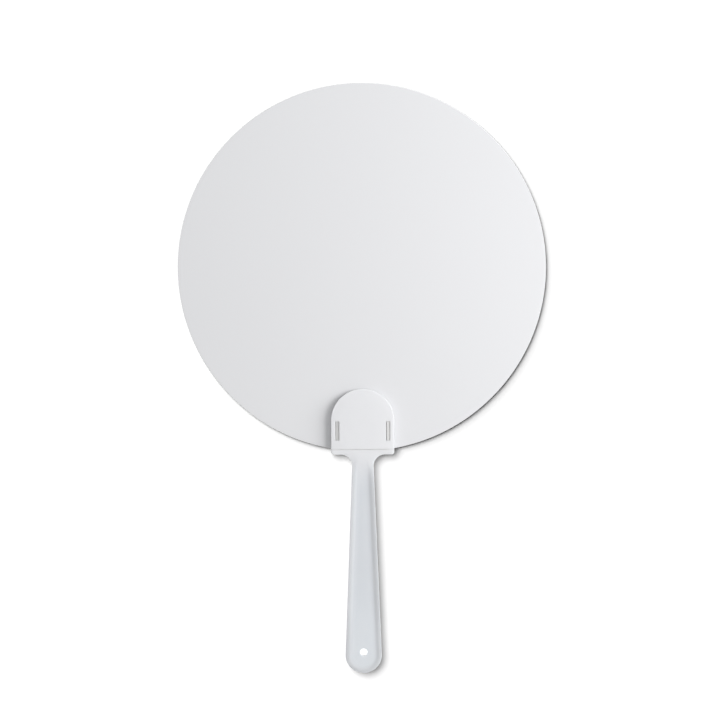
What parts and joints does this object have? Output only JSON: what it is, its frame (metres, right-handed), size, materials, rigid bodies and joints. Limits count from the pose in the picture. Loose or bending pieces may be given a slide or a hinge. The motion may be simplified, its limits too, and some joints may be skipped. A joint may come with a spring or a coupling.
{
  "type": "hand fan",
  "caption": "Round semi-rigid plastic sheet held in an arch-shaped snap clip at the head of a slim moulded handle with a dished grip and a hang hole.",
  "frame": {"origin": "middle of the fan's outline, on the surface that it lies on, at the back of the handle", "axes": "+X to the right seen from the front, +Y from the end of the grip to the top of the sheet, +Z out of the fan's front"},
  "size_m": [0.21, 0.3362, 0.0068],
  "materials": {
    "sheet_white": "satin white sheet",
    "moulded_white": "half-gloss, slightly translucent white moulding"
  },
  "bodies": {
    "handle": {"handle": "moulded_white"},
    "blade": {"blade": "sheet_white"},
    "clip_cover": {"clip_cover": "moulded_white"},
    "left_snap_arm": {"left_snap_arm": "moulded_white"},
    "right_snap_arm": {"right_snap_arm": "moulded_white"}
  },
  "joints": [
    {"name": "blade_lift", "type": "slide", "parent": "handle", "child": "blade", "axis": [0, 0, 1], "range_m": [0, 0.03]},
    {"name": "cover_lift", "type": "slide", "parent": "blade", "child": "clip_cover", "axis": [0, 0, 1], "range_m": [0, 0.03]},
    {"name": "left_snap_flex", "type": "hinge", "parent": "handle", "child": "left_snap_arm", "pos_m": [-0.01444, -0.03045, 0.0009], "axis": [0, 1, 0], "range_deg": [0, 2.8], "stiffness_Nm_per_rad": 0.3},
    {"name": "right_snap_flex", "type": "hinge", "parent": "handle", "child": "right_snap_arm", "pos_m": [0.01444, -0.03045, 0.0009], "axis": [0, -1, 0], "range_deg": [0, 2.8], "stiffness_Nm_per_rad": 0.3}
  ]
}
